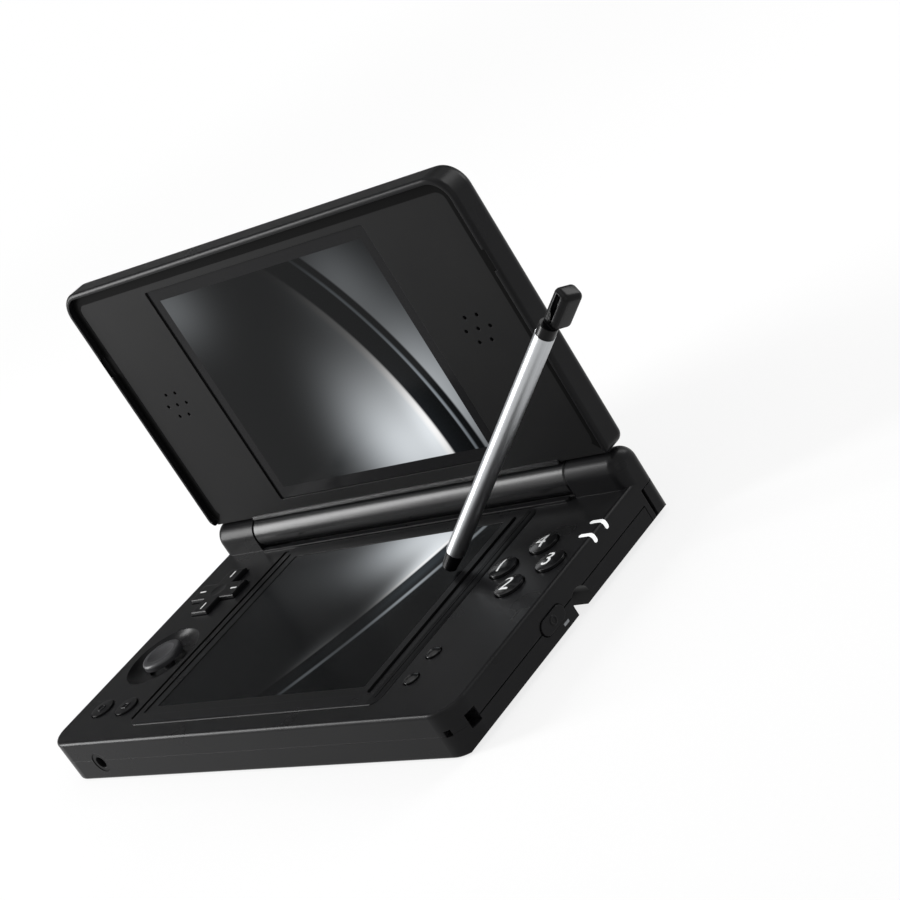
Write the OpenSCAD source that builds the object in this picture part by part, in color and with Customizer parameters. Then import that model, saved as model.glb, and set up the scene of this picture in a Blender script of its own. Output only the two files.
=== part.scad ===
// Clamshell handheld game console, millimetres, +Z up, hinge toward +Y.
// The origin is the centre of the base's underside.
// Distances named *_y are measured from the base's front edge toward the hinge,
// and distances named *_side from the base's side wall inward.

/* [Body] */
// Width, left to right
body_w = 160; // [150:1:170]
// Depth of the base, front to hinge
body_d = 91; // [86:0.5:96]
// Height of the base without the hinge
base_h = 12.6; // [12.4:0.1:13.2]
// Height of the seam between the two base covers
split_z = 6.4; // [6.2:0.1:6.6]
// Thickness of the moulded walls
wall = 1.6; // [1.4:0.1:1.8]
// Plan radius of the two front corners
corner_r = 7; // [5:0.5:9]
// Plan radius of the two rear corners
rear_r = 3.2; // [2.6:0.1:3.4]
// Radius along the top edges of the base
top_edge_r = 1; // [0.6:0.1:1.4]
// Radius along the bottom edges of the base
bottom_edge_r = 0.8; // [0.4:0.1:1]
// Width of the bevel under each side
bevel_w = 3; // [1:0.25:3]
// Height of the bevel under each side
bevel_h = 1.8; // [0.8:0.1:1.8]

/* [Lid and hinge] */
// How far the lid stands open
lid_angle = 91; // [0:1:150]
// Height of the hinge axis
hinge_z = 16.5; // [16.4:0.1:16.8]
// Radius of the hinge barrel
barrel_r = 4.9; // [4.8:0.1:5]
// Radius of the hollow inside the barrel
barrel_bore_r = 3.4; // [3.2:0.1:3.5]
// Width of each hinge knuckle
knuckle_w = 17.5; // [16:0.5:19]
// Radius of the hinge pins
pin_r = 2; // [1.5:0.1:2.2]
// Radial running clearance of the pins
pin_fit = 0.05; // [0.02:0.01:0.1]
// Side gap between barrel and knuckles
hinge_gap = 0.4; // [0.3:0.1:0.6]
// Gap between the shut lid's rim and the base
rim_gap = 0.3; // [0.3:0.1:0.5]
// How far the lid stands in from the base at the sides
lid_inset = 0.4; // [0:0.1:0.8]
// How far the lid stands back from the base at the front
lid_front = 0.8; // [0:0.1:1]
// How far the lid's back lies below the top of the barrel
back_drop = 0.3; // [0:0.1:0.5]
// Wall thickness of the lid's rim
lid_wall = 1.5; // [1.4:0.1:2]
// Depth of the lid's inner face below its rim
lid_recess = 1.5; // [1.5:0.1:2.1]
// Radius along the lid's outer edges
lid_edge_r = 2.5; // [1.5:0.1:2.5]
// Thickness of the lid's inner panel
bezel_t = 1.4; // [1.2:0.1:1.6]

/* [Screens] */
// From the base's side wall to the pictures
picture_side = 38.4; // [38:0.1:40]
// Border of the upper window round its picture
window_border = 3.4; // [3:0.05:3.6]
// From the front edge to the upper window
window_y = 7.35; // [7:0.05:7.6]
// From the upper window to the rear edge of the lid
window_rear = 4.25; // [4:0.05:4.6]
// How far the upper window lies below the lid's inner face
window_drop = 0.45; // [0.1:0.05:0.6]
// From the front edge to the lower picture
lower_front = 12.5; // [12:0.1:13]
// Height of the raised frame above the base
frame_rise = 0.3; // [0.2:0.05:0.3]
// Width of the frame's long slope on the right
frame_slope = 3.9; // [2:0.1:4]
// Width of the frame's steep edge on the left
frame_lip = 0.6; // [0.4:0.1:0.8]
// Width of the frame's flat sides
frame_flat = 5.9; // [5.6:0.1:6]
// How far the lower glass lies below the frame
glass_drop = 0.15; // [0.1:0.05:0.3]

/* [Controls] */
// Gap round each control in its hole
control_gap = 0.25; // [0.2:0.05:0.3]
// Radius of the four face buttons
face_r = 3.9; // [3.6:0.1:4.1]
// Distance of each face button from their centre
face_pitch = 8; // [7.6:0.1:8.2]
// Height of the face buttons above the base
face_rise = 1.35; // [1:0.05:1.4]
// Centre of the face buttons from the right side
face_side = 14.9; // [14.7:0.1:15.4]
// Centre of the face buttons from the front edge
face_y = 54.4; // [53:0.1:56]
// Half length of the direction pad's arms
dpad_arm = 9.6; // [9:0.1:10]
// Width of the direction pad's arms
dpad_w = 6.8; // [6.2:0.1:7.4]
// Height of the direction pad above the base
dpad_rise = 1.25; // [1:0.05:1.4]
// Centre of the direction pad from the left side
dpad_side = 16.2; // [15.4:0.1:16.6]
// Centre of the direction pad from the front edge
dpad_y = 62.3; // [61.5:0.1:63]
// Radius of the slide pad's cap
slide_r = 6.1; // [5.6:0.1:6.4]
// Sideways travel of the slide pad
slide_travel = 2.5; // [1.5:0.1:2.5]
// Radius of the dished recess round the slide pad
bowl_r = 11.7; // [11.4:0.1:12]
// Centre of the slide pad from the left side
slide_side = 16.7; // [16.4:0.1:17]
// Centre of the slide pad from the front edge
slide_y = 35.3; // [34.8:0.1:35.8]
// Radius of the start and select pegs
peg_r = 2; // [1.6:0.1:2.4]
// Radius of the two flat round buttons
round_r = 3.4; // [3:0.1:3.6]
// Length of the power button
power_len = 9.2; // [8.6:0.1:10]
// Height of the power button
power_high = 4; // [3.6:0.1:4.4]
// Centre of the power button from the front edge
power_y = 39.5; // [38.5:0.1:40]
// Length of the volume rocker
volume_len = 17; // [16:0.5:18]
// Centre of the volume rocker from the front edge
volume_y = 45; // [44:0.5:46]

/* [Stylus] */
// Length of the stylus
stylus_len = 92; // [86:1:94]
// Radius of the steel barrel
stylus_r = 2.45; // [2.2:0.05:2.5]
// Length of the dark tip
tip_len = 6; // [5:0.5:8]
// Length of the dark head
head_len = 12.8; // [12:0.2:14]
// Radius of the bay for the stylus
bay_r = 2.9; // [2.8:0.05:2.9]
// Depth of the finger notch at the mouth of the bay
notch_len = 11.2; // [10:0.2:11.6]
// Width of the finger notch
notch_w = 6.7; // [6.4:0.1:7]
// Height of the finger notch
notch_top = 7.1; // [7.05:0.05:7.2]
// Centre of the bay from the front edge
bay_y = 50.5; // [50:0.5:51]

/* [Hidden] */
$fn = 64;

// Main lines of the body
half_w = body_w / 2;
hinge_y = body_d - barrel_r;
knuckle_x = half_w - knuckle_w;
barrel_end = knuckle_x - hinge_gap;
trough_r = barrel_r + 0.5;
trough_wall = 1.4;
seam = 0.05;

// Lid, drawn shut
lid_x = half_w - lid_inset;
lid_z0 = base_h + rim_gap;
lid_z1 = hinge_z + barrel_r - back_drop;
lid_face_z = lid_z0 + lid_recess;
lid_end_y = hinge_y - barrel_r - 0.5;
lid_in_z = lid_z1 - wall;
bezel_x = lid_x - lid_wall - 0.1;
bezel_y = lid_front + lid_wall + 0.1;
bezel_z1 = lid_face_z + bezel_t;
shell_fit = 0.1;

// Screens
screen_w = 2 * (half_w - picture_side);
window_w = screen_w + 2 * window_border;
window_d = lid_end_y - window_rear - window_y;
screen_d = window_d - 2 * window_border + 0.1;
upper_y = window_y + window_d / 2;
lower_y = lower_front + screen_d / 2;
panel_edge = 2.8;
frame_z = base_h + frame_rise;
frame_x = screen_w / 2 + frame_flat;
frame_y0 = lower_front - 6.3;
frame_y1 = hinge_y - 6.6;
frame_left = frame_x + frame_lip;
frame_right = frame_x + frame_slope;
opening_x = frame_x - 0.7;
opening_y0 = frame_y0 + 1;
opening_y1 = frame_y1 - 0.6;
glass_z = frame_z - glass_drop;
glass_t = 1;
lip_y0 = frame_y1 + 0.2;
lip_y1 = hinge_y - trough_r + 0.7;
lip_h = 0.8;

// Circuit board and what stands on it
board_z = base_h - wall - 3.3;
board_t = 1;
board_top = board_z + board_t;
board_x = half_w - 4;
board_y0 = 4;
board_y1 = hinge_y - 7.1;
flange_z0 = board_top + 1.5;
flange_z1 = flange_z0 + 0.6;
post_spots = [[half_w - 10, 28], [30 - half_w, 22], [half_w - 28, 74], [30 - half_w, 75.5]];
battery_w = 60;
battery_y0 = 5;
battery_y1 = 44;
battery_t = 4.75;

// Shoulder buttons
shoulder_x = half_w - 22;
shoulder_y = body_d - 6.6;
shoulder_z0 = 1.4;
shoulder_z1 = 9.6;
shoulder_skin = 1.2;
shoulder_hinge = [shoulder_x + 2.5, body_d - 3];
leg_w = 1.6;

// Stylus bay
tube_wall = 0.5;
tube_r = bay_r + tube_wall;
bay_z = board_z - tube_r - 0.05;
tube_x1 = half_w - notch_len;
tube_len = stylus_len - notch_len + 0.8;

// Screws, sockets and side controls
screw_x = half_w - 12;
screw_y = 6.4;
side_z = 6.5;
jack_x = 18.8 - half_w;
jack_z = 5.6;
jack_r = 1.8;
jack_y = 0.15;
port_x = 32 - half_w;
port_half = 4.2;
port_z0 = board_z - 3.2;
port_z1 = board_z - 0.05;

// Pads and buttons
face_x = half_w - face_side;
dpad_x = half_w - dpad_side;
dpad_z0 = board_top + 1.1;
slide_x = half_w - slide_side;
pad_z = base_h - 4.2;
bowl_z = base_h - 2.2;
well = slide_travel * 2 + 7;
module_half = 9;
face_spots = [[face_x, face_y + face_pitch], [face_x + face_pitch, face_y],
    [face_x, face_y - face_pitch], [face_x - face_pitch, face_y]];
peg_spots = [[half_w - 23, 23.3], [half_w - 23.2, 14.1]];
round_spots = [[11.6 - half_w, 13.8], [22.8 - half_w, 13.8]];
light_ys = [63.8, 69.1];
light_w = 1.3;
light_x = half_w - 3.7;
light_z = 10.9;
speaker_x = half_w - 18.7;
speaker_y = upper_y - 0.8;

// Places a part drawn with distances from the front edge
module from_front() {
    translate([0, -body_d / 2, 0]) children();
}

// Turns a part of the lid, drawn shut, to where the lid stands
module on_lid() {
    from_front()
        translate([0, hinge_y, hinge_z])
            rotate([-lid_angle, 0, 0])
                translate([0, -hinge_y, -hinge_z]) children();
}

module box(x0, x1, y0, y1, z0, z1) {
    translate([x0, y0, z0]) cube([x1 - x0, y1 - y0, z1 - z0]);
}

module z_cyl(x, y, z0, z1, r) {
    translate([x, y, z0]) cylinder(h = z1 - z0, r = r);
}

module x_cyl(x0, x1, y, z, r) {
    translate([x0, y, z]) rotate([0, 90, 0]) cylinder(h = x1 - x0, r = r);
}

module y_cyl(x, y0, y1, z, r) {
    translate([x, y0, z]) rotate([-90, 0, 0]) cylinder(h = y1 - y0, r = r);
}

module round_rect(x0, x1, y0, y1, r) {
    translate([x0 + r, y0]) square([x1 - x0 - 2 * r, y1 - y0]);
    translate([x0, y0 + r]) square([x1 - x0, y1 - y0 - 2 * r]);
    for (x = [x0 + r, x1 - r], y = [y0 + r, y1 - r]) translate([x, y]) circle(r);
}

module plate(x0, x1, y0, y1, z0, z1, r) {
    translate([0, 0, z0]) linear_extrude(z1 - z0) round_rect(x0, x1, y0, y1, r);
}

// Pill section in Y and Z, drawn out along X
module side_pill(x0, x1, yc, zc, len, high) {
    translate([x0, yc, zc]) rotate([90, 0, 90]) linear_extrude(x1 - x0) {
        square([len - high, high], center = true);
        for (s = [-1, 1]) translate([s * (len - high) / 2, 0]) circle(high / 2);
    }
}

// Half section of a soft-edged wall: outward is +X, tr rounds the top, br the bottom
module rim_section(r, h, tr, br) {
    translate([0, br]) square([r, h - tr - br]);
    if (r - tr > 0.01) square([r - max(tr, br), h]);
    if (br > 0) square([r - br, br + 0.1]);
    if (tr > 0) translate([r - tr, h - tr]) intersection() {
        circle(tr);
        square(tr);
    }
    if (br > 0) translate([r - br, br]) intersection() {
        circle(br);
        translate([0, -br]) square(br);
    }
}

// Slab with round plan corners (rf front, rr rear) and rounded top and bottom edges
module soft_slab(w, y0, y1, z0, z1, rf, rr, tr, br) {
    h = z1 - z0;
    c = w / 2;
    translate([0, 0, z0]) {
        for (s = [0, 1]) mirror([s, 0, 0]) {
            translate([c - rf, y0 + rf, 0]) rotate([0, 0, 270])
                rotate_extrude(angle = 90) rim_section(rf, h, tr, br);
            translate([c - rr, y1 - rr, 0])
                rotate_extrude(angle = 90) rim_section(rr, h, tr, br);
            translate([c - rr, y1 - rr, 0]) rotate([90, 0, 0])
                linear_extrude(y1 - y0 - rf - rr) rim_section(rr, h, tr, br);
        }
        translate([c - rf, y0 + rr, 0]) rotate([0, 0, -90]) rotate([90, 0, 0])
            linear_extrude(w - 2 * rf) rim_section(rr, h, tr, br);
        translate([-(c - rr), y1 - rr, 0]) rotate([0, 0, 90]) rotate([90, 0, 0])
            linear_extrude(w - 2 * rr) rim_section(rr, h, tr, br);
        translate([-(c - rf), y0 + rr, 0]) cube([w - 2 * rf, y1 - y0 - 2 * rr, h]);
        translate([-(c - rr), y0 + rf, 0]) cube([w - 2 * rr, y1 - y0 - rf - rr, h]);
    }
}

// Slab with plain edges, inset from the body's outline
module inset_slab(inset, z0, z1) {
    translate([0, 0, z0]) linear_extrude(z1 - z0) {
        x = half_w - inset;
        rf = corner_r - inset;
        rr = rear_r - inset;
        translate([-(x - rf), inset]) square([2 * (x - rf), body_d - 2 * inset]);
        translate([-x, inset + rf]) square([2 * x, body_d - 2 * inset - rf - rr]);
        translate([-(x - rr), body_d - inset - rr - 0.01]) square([2 * (x - rr), rr + 0.01]);
        for (s = [-1, 1]) {
            translate([s * (x - rf), inset + rf]) circle(rf);
            translate([s * (x - rr), body_d - inset - rr]) circle(rr);
        }
    }
}

// Solid blocks that stay inside the hollow covers
module kept_blocks() {
    side = notch_w / 2 + 1.4;
    x_cyl(-knuckle_x, knuckle_x, hinge_y, hinge_z, trough_r + trough_wall);
    for (s = [0, 1]) mirror([s, 0, 0])
        box(shoulder_x - shoulder_skin, half_w, shoulder_y - shoulder_skin, body_d, 0, base_h);
    box(tube_x1 - 1.6, half_w, bay_y - side, bay_y + side, 0, board_z - 0.2);
    box(half_w - 7.4, half_w, 0, 9.2, 4, 9.8);
}

module screw_posts(z0, z1, r) {
    for (s = [-1, 1]) z_cyl(s * screw_x, screw_y, z0, z1, r);
}

module post_holes(z0, z1, r) {
    for (p = post_spots) z_cyl(p[0], p[1], z0, z1, r);
}

// Openings shared by both covers
module side_openings() {
    gap = 2 * control_gap;
    side_pill(half_w - 3, half_w + 1, power_y, side_z, power_len + gap, power_high + gap);
    side_pill(-half_w - 1, -half_w + 3, volume_y, side_z, volume_len + gap, 4.5 + gap);
    light_space(1, power_y + 3.2, 3.2, 0.02);
    light_space(-1, volume_y - 11.4, split_z + 1.4, 0.02);
    y_cyl(jack_x, -1, wall + 1, jack_z, 3.05);
    box(port_x - port_half - 0.1, port_x + port_half + 0.1, body_d - wall - 1, body_d + 1,
        port_z0 - 0.1, port_z1 + 0.1);
    shoulder_recess();
    mirror([1, 0, 0]) shoulder_recess();
    strap_passage();
    notch_space();
    x_cyl(tube_x1 - tube_len - 1, tube_x1 + 1, bay_y, bay_z, tube_r + 0.02);
}

module shoulder_recess() {
    box(shoulder_x, half_w + 1, shoulder_y, body_d + 1, shoulder_z0, shoulder_z1);
    y_cyl(half_w - 7, shoulder_y - shoulder_skin - 1, shoulder_y + 1, 5.5, 1.3);
}

module strap_passage() {
    box(half_w - 3.4, half_w + 1, 4.2, 7.5, 5, 8.8);
    box(half_w - 5.2, half_w - 3.3, 3, 7.5, 5.4, 8.4);
    box(half_w - 5.2, half_w - 3.5, -1, 3.1, 6, 7.7);
}

// Finger notch over the mouth of the stylus bay, open below and at the side
module notch_space() {
    arch_z = notch_top - notch_w / 2;
    translate([tube_x1, bay_y, 0]) rotate([90, 0, 90]) linear_extrude(notch_len + 1) {
        translate([-notch_w / 2, -1]) square([notch_w, arch_z + 1]);
        translate([0, arch_z]) circle(notch_w / 2);
    }
}

module knuckle() {
    end_w = half_w - knuckle_x;
    translate([knuckle_x, hinge_y, hinge_z]) rotate([0, 90, 0]) rotate_extrude() {
        square([barrel_r, end_w - rear_r]);
        square([barrel_r - rear_r, end_w]);
        translate([barrel_r - rear_r, end_w - rear_r]) intersection() {
            circle(rear_r);
            square(rear_r);
        }
    }
    translate([0, 0, base_h - wall]) linear_extrude(hinge_z - base_h + wall) {
        translate([knuckle_x, hinge_y - barrel_r]) square([end_w - rear_r, 2 * barrel_r]);
        translate([knuckle_x, hinge_y - barrel_r + rear_r])
            square([end_w, 2 * (barrel_r - rear_r)]);
        for (s = [-1, 1])
            translate([half_w - rear_r, hinge_y + s * (barrel_r - rear_r)]) circle(rear_r);
    }
}

// Short bars of light that wrap over the right edge
module light_bars() {
    for (y = light_ys) {
        box(light_x, half_w + 1, y - light_w / 2, y + light_w / 2, light_z, base_h + 1);
        z_cyl(light_x, y, light_z, base_h + 1, light_w / 2);
        x_cyl(light_x, half_w + 1, y, light_z, light_w / 2);
    }
}

module dpad_cross(gap, z0, z1) {
    reach = dpad_arm + gap;
    side = dpad_w / 2 + gap;
    translate([-dpad_x, dpad_y, 0]) {
        box(-reach, reach, -side, side, z0, z1);
        box(-side, side, -reach, reach, z0, z1);
    }
}

// Dish with a flat floor and a wall that curves out to the cover's face
module bowl_space() {
    floor_r = bowl_r - 4.3;
    translate([-slide_x, slide_y, 0]) rotate_extrude() {
        translate([0, bowl_z]) square([floor_r + 0.1, base_h - bowl_z + 1]);
        translate([0, base_h]) square([bowl_r, 1]);
        difference() {
            translate([floor_r, bowl_z]) square([4.3, base_h - bowl_z + 0.1]);
            translate([floor_r, base_h + 3.1]) difference() {
                square([12, 22], center = true);
                circle(5.3);
            }
        }
    }
}

module top_holes() {
    box(-opening_x, opening_x, opening_y0, opening_y1, base_h - wall - 1, base_h + 1);
    bowl_space();
    z_cyl(-slide_x, slide_y, board_z, base_h, slide_travel + 3.1);
    dpad_cross(0.4, board_z, base_h + 1);
    for (p = face_spots) z_cyl(p[0], p[1], board_top, base_h + 1, face_r + control_gap);
    for (p = peg_spots) z_cyl(p[0], p[1], board_top, base_h + 1, peg_r + control_gap);
    for (p = round_spots) z_cyl(p[0], p[1], board_top, base_h + 1, round_r + control_gap);
    z_cyl(0.5, (lip_y0 + lip_y1) / 2, board_top, base_h + 2, 0.4);
    box(-frame_left - 0.35, -frame_left + 0.1, frame_y0 + 3.4, frame_y1 - 0.6, base_h - 0.5, base_h + 1);
}

// Upper half of the base, with the two knuckles that carry the lid
module top_cover() {
    color("#2a2a2a") from_front() difference() {
        union() {
            difference() {
                union() {
                    soft_slab(body_w, 0, body_d, split_z, base_h, corner_r, rear_r, top_edge_r, 0);
                    knuckle();
                    mirror([1, 0, 0]) knuckle();
                    plate(1.5 - knuckle_x, knuckle_x - 1.5, lip_y0, lip_y1, base_h - 1, base_h + lip_h, 0.8);
                }
                difference() {
                    soft_slab(body_w - 2 * wall, wall, body_d - wall, split_z - 1, base_h - wall,
                        corner_r - wall, rear_r - wall, 0.5, 0);
                    kept_blocks();
                    z_cyl(-slide_x, slide_y, bowl_z - 0.8, base_h, bowl_r + 0.9);
                }
                inset_slab(0.75, split_z - 1, split_z + 0.85);
            }
            screw_posts(2.65, base_h - 1, 2.6);
            corner_leg(0);
            mirror([1, 0, 0]) corner_leg(0);
        }
        x_cyl(-knuckle_x, knuckle_x, hinge_y, hinge_z, trough_r);
        box(-knuckle_x, knuckle_x, hinge_y, body_d + 1, base_h - 1.4, hinge_z);
        for (s = [0, 1]) mirror([s, 0, 0]) {
            x_cyl(knuckle_x - 1, half_w - 3.8, hinge_y, hinge_z, pin_r + 0.03);
            side_bevel();
        }
        side_openings();
        top_holes();
        light_bars();
        screw_posts(2, 9.5, 1);
    }
}

// Leg of the top cover that reaches down in front of a shoulder button
module corner_leg(gap) {
    intersection() {
        soft_slab(body_w, 0, body_d, 0, base_h, corner_r, rear_r, 0.5, bottom_edge_r);
        box(half_w - 1.5 - gap, half_w, shoulder_y - leg_w - gap, shoulder_y + gap, -1, split_z + 0.1);
    }
}

module bottom_cover() {
    color("#272727") from_front() {
        difference() {
            union() {
                difference() {
                    union() {
                        soft_slab(body_w, 0, body_d, 0, split_z - seam, corner_r, rear_r, 0,
                            bottom_edge_r);
                        inset_slab(0.85, 2, split_z + 0.6);
                    }
                    difference() {
                        soft_slab(body_w - 2 * wall, wall, body_d - wall, wall, split_z + 2,
                            corner_r - wall, rear_r - wall, 0, 0.6);
                        kept_blocks();
                    }
                }
                post_holes(wall - 0.1, board_z, 2.2);
            }
            for (s = [0, 1]) mirror([s, 0, 0]) {
                side_bevel();
                side_reveal();
                corner_leg_space();
            }
            side_openings();
            screw_posts(-1, 3, 1.3);
            screw_posts(2.6, split_z + 1, 2.7);
            screw_posts(-0.01, 1, 2.4);
            for (s = [-1, 1]) z_cyl(s * 31, 4.5, -1, 0.6, 0.5);
            post_holes(4, board_z + 1, 0.8);
        }
        for (s = [0, 1]) mirror([s, 0, 0])
            z_cyl(shoulder_hinge[0], shoulder_hinge[1], shoulder_z0 - 0.2, shoulder_z1 - 0.1, 1);
    }
}

// Shadow line between the covers, along the sides only
module side_reveal() {
    box(half_w - 0.4, half_w + 1, 7.5, shoulder_y - leg_w, split_z - 0.35, split_z);
}

module corner_leg_space() {
    box(half_w - 1.6, half_w + 1, shoulder_y - leg_w - 0.25, shoulder_y + 1, -1, split_z + 1);
}

// Long bevel under one side
module side_bevel() {
    translate([0, body_d + 1, 0]) rotate([90, 0, 0]) linear_extrude(body_d + 2)
        polygon([[half_w - bevel_w, 0], [half_w - bevel_w - 0.5, -0.3], [half_w + 0.5, -0.3],
            [half_w + 0.5, bevel_h + 0.3], [half_w, bevel_h]]);
}

// Raised frame: a steep edge on the left, a long slope on the right and a bevel in front
module screen_frame() {
    y0 = frame_y0 - 0.7;
    color("#202020") from_front() difference() {
        union() {
            intersection() {
                plate(-frame_left, frame_right, y0, frame_y1, base_h, frame_z, 3.6);
                translate([0, frame_y1, 0]) rotate([90, 0, 0]) linear_extrude(frame_y1 - y0)
                    polygon([[-frame_left, base_h], [frame_right, base_h], [frame_x, frame_z],
                        [0.15 - frame_left, frame_z]]);
                translate([-half_w, 0, 0]) rotate([90, 0, 90]) linear_extrude(body_w)
                    polygon([[y0, base_h], [frame_y1, base_h], [frame_y1, frame_z], [frame_y0, frame_z]]);
            }
            plate(-opening_x + 0.1, opening_x - 0.1, opening_y0 + 0.1, opening_y1 - 0.1,
                base_h - wall + 0.2, base_h + 0.05, 0.4);
        }
        plate(-screen_w / 2, screen_w / 2, lower_y - screen_d / 2, lower_y + screen_d / 2,
            board_z, base_h + 2, 0.5);
        lower_panel(0.2, board_z, glass_z + 0.02);
    }
}

module lower_panel(gap, z0, z1) {
    x = screen_w / 2 + panel_edge + gap;
    y = screen_d / 2 + panel_edge + gap;
    box(-x, x, lower_y - y, lower_y + y, z0, z1);
}

module touch_panel() {
    color("#101418") from_front() lower_panel(0, glass_z - glass_t, glass_z);
}

module lower_display() {
    color("#30343a") from_front() lower_panel(0, board_top + 0.1, glass_z - glass_t - 0.1);
}

module main_board() {
    hole = module_half + 0.3;
    color("#1f6b3a") from_front() difference() {
        union() {
            plate(-board_x, board_x, board_y0, board_y1, board_z, board_top, 3);
            plate(3 - shoulder_x, shoulder_x - 3, board_y1 - 9, board_y1 + 5, board_z, board_top, 1);
        }
        box(-slide_x - hole, -slide_x + hole, slide_y - hole, slide_y + hole, board_z - 1, board_top + 1);
        screw_posts(board_z - 1, board_top + 1, 3.2);
        box(half_w - 8, half_w, 0, 9.8, board_z - 1, board_top + 1);
        post_holes(board_z - 1, board_top + 1, 0.85);
    }
}

module cross_slot(x, y, z, len, wide) {
    for (a = [0, 90]) translate([x, y, z]) rotate([0, 0, a]) cube([len, wide, 0.8], center = true);
}

module board_screws() {
    color("#b8bcc0") from_front() for (p = post_spots) {
        z_cyl(p[0], p[1], 5, board_top + 0.05, 0.75);
        difference() {
            z_cyl(p[0], p[1], board_top, board_top + 0.9, 1.5);
            cross_slot(p[0], p[1], board_top + 0.75, 1.9, 0.4);
        }
    }
}

module battery() {
    half = battery_w / 2;
    color("#3a3f45") from_front() {
        plate(-half, half, battery_y0, battery_y1, wall + 0.05, wall + 0.05 + battery_t, 3);
        plate(half - 0.5, half + 3, battery_y0 + 15, battery_y0 + 25, wall + 0.6, wall + 3, 0.5);
    }
}

module slider_module() {
    m = module_half;
    color("#2c2c2c") from_front() translate([-slide_x, slide_y, 0]) difference() {
        box(-m, m, -m, m, pad_z - 3.6, pad_z);
        box(-well / 2, well / 2, -well / 2, well / 2, pad_z - 2.6, pad_z + 0.2);
        for (a = [0, 90]) rotate([0, 0, a]) box(1 - m, m - 1, -0.8, 0.8, pad_z - 3.2, pad_z - 1.9);
    }
}

module slider_carriage() {
    slot = slide_travel + 2;
    color("#d8d4c8") from_front() translate([-slide_x, slide_y, 0]) difference() {
        box(-3.2, 3.2, 0.2 - well / 2, well / 2 - 0.2, pad_z - 1.8, pad_z - 0.4);
        box(-1.6, 1.6, -slot, slot, pad_z - 3, pad_z);
    }
}

module slide_pad() {
    cap_top = pad_z + 5.4;
    color("#303030") from_front() translate([-slide_x, slide_y, 0]) rotate_extrude() difference() {
        union() {
            translate([0, pad_z - 1.5]) square([1.5, 3]);
            translate([0, pad_z + 0.5]) square([module_half + 0.3, 0.4]);
            translate([0, pad_z + 0.5]) square([1.7, 3.4]);
            translate([0, cap_top - 1.9]) square([slide_r, 1]);
            translate([0, cap_top - 1.9]) square([slide_r - 0.9, 1.9]);
            translate([slide_r - 0.9, cap_top - 0.9]) circle(0.9);
        }
        translate([0, cap_top - 0.15 + 9.5]) circle(10.3);
    }
}

module dpad_membrane() {
    color("#8a8f94") from_front() translate([-dpad_x, dpad_y, 0]) difference() {
        union() {
            z_cyl(0, 0, board_top, board_top + 0.25, dpad_arm + 0.8);
            for (a = [0:90:270]) rotate([0, 0, a])
                z_cyl(dpad_arm - 2.6, 0, board_top, board_top + 0.5, 2.3);
        }
        z_cyl(0, 0, board_top - 1, board_top + 2, 2);
    }
}

module dpad_pivot() {
    color("#9a9a9a") from_front() translate([-dpad_x, dpad_y, 0]) rotate_extrude() {
        translate([0, board_top + 0.05]) square([1.5, 0.9]);
        translate([0, board_top + 0.95]) intersection() {
            circle(0.9);
            square(0.9);
        }
    }
}

// Bar with rounded upper edges, lying along X
module soft_bar(len, wide, z0, z1, r) {
    intersection() {
        translate([-len / 2, 0, 0]) rotate([90, 0, 90]) linear_extrude(len) {
            translate([-wide / 2, z0]) square([wide, z1 - z0 - r]);
            translate([-wide / 2 + r, z0]) square([wide - 2 * r, z1 - z0]);
            for (s = [-1, 1]) translate([s * (wide / 2 - r), z1 - r]) circle(r);
        }
        translate([0, wide / 2, 0]) rotate([90, 0, 0]) linear_extrude(wide) {
            translate([-len / 2, z0]) square([len, z1 - z0 - r]);
            translate([-len / 2 + r, z0]) square([len - 2 * r, z1 - z0]);
            for (s = [-1, 1]) translate([s * (len / 2 - r), z1 - r]) circle(r);
        }
    }
}

module dpad() {
    top = base_h + dpad_rise;
    color("#1c1c1c") from_front() translate([-dpad_x, dpad_y, 0]) difference() {
        union() {
            for (a = [0, 90]) rotate([0, 0, a])
                soft_bar(2 * dpad_arm, dpad_w, dpad_z0 + 0.2, top, 0.5);
            z_cyl(0, 0, dpad_z0, dpad_z0 + 0.4, dpad_arm + 0.7);
        }
        z_cyl(0, 0, dpad_z0 - 1, dpad_z0 + 0.9, 2);
        translate([0, 0, top + 17.8]) sphere(18);
    }
}

module push_button(x, y, r, top, dome) {
    ball = (r * r + dome * dome) / (2 * dome);
    translate([x, y, 0]) rotate_extrude() {
        translate([0, flange_z0]) square([r + 0.9, flange_z1 - flange_z0]);
        translate([0, flange_z0]) square([r, top - dome - flange_z0]);
        translate([0, top - dome]) intersection() {
            translate([0, dome - ball]) circle(ball);
            square([r, dome]);
        }
    }
}

module face_button_membrane() {
    reach = face_pitch + face_r;
    color("#8a8f94") from_front() {
        plate(face_x - reach, face_x + reach, face_y - reach, face_y + reach,
            board_top, board_top + 0.25, 3);
        for (p = face_spots) z_cyl(p[0], p[1], board_top, board_top + 0.7, 2.6);
    }
}

module tact_switches() {
    color("#c0c4c8") from_front() for (p = concat(peg_spots, round_spots)) {
        box(p[0] - 1.9, p[0] + 1.9, p[1] - 1.9, p[1] + 1.9, board_top, board_top + 0.4);
        z_cyl(p[0], p[1], board_top, board_top + 0.75, 1.1);
    }
}

module face_button(i) {
    color("#1c1c1c") from_front()
        push_button(face_spots[i][0], face_spots[i][1], face_r, base_h + face_rise, 0.6);
}

module peg_button(i) {
    color("#1c1c1c") from_front()
        push_button(peg_spots[i][0], peg_spots[i][1], peg_r, base_h + 1, 0.6);
}

module round_button(i) {
    push_button(round_spots[i][0], round_spots[i][1], round_r, base_h + 0.6, 0.15);
}

module home_button() {
    color("#242424") from_front() {
        round_button(0);
        translate([round_spots[0][0], round_spots[0][1], base_h + 0.4]) difference() {
            cylinder(h = 0.35, r = 1.3);
            translate([0, 0, -1]) cylinder(h = 3, r = 0.9);
        }
    }
}

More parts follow.
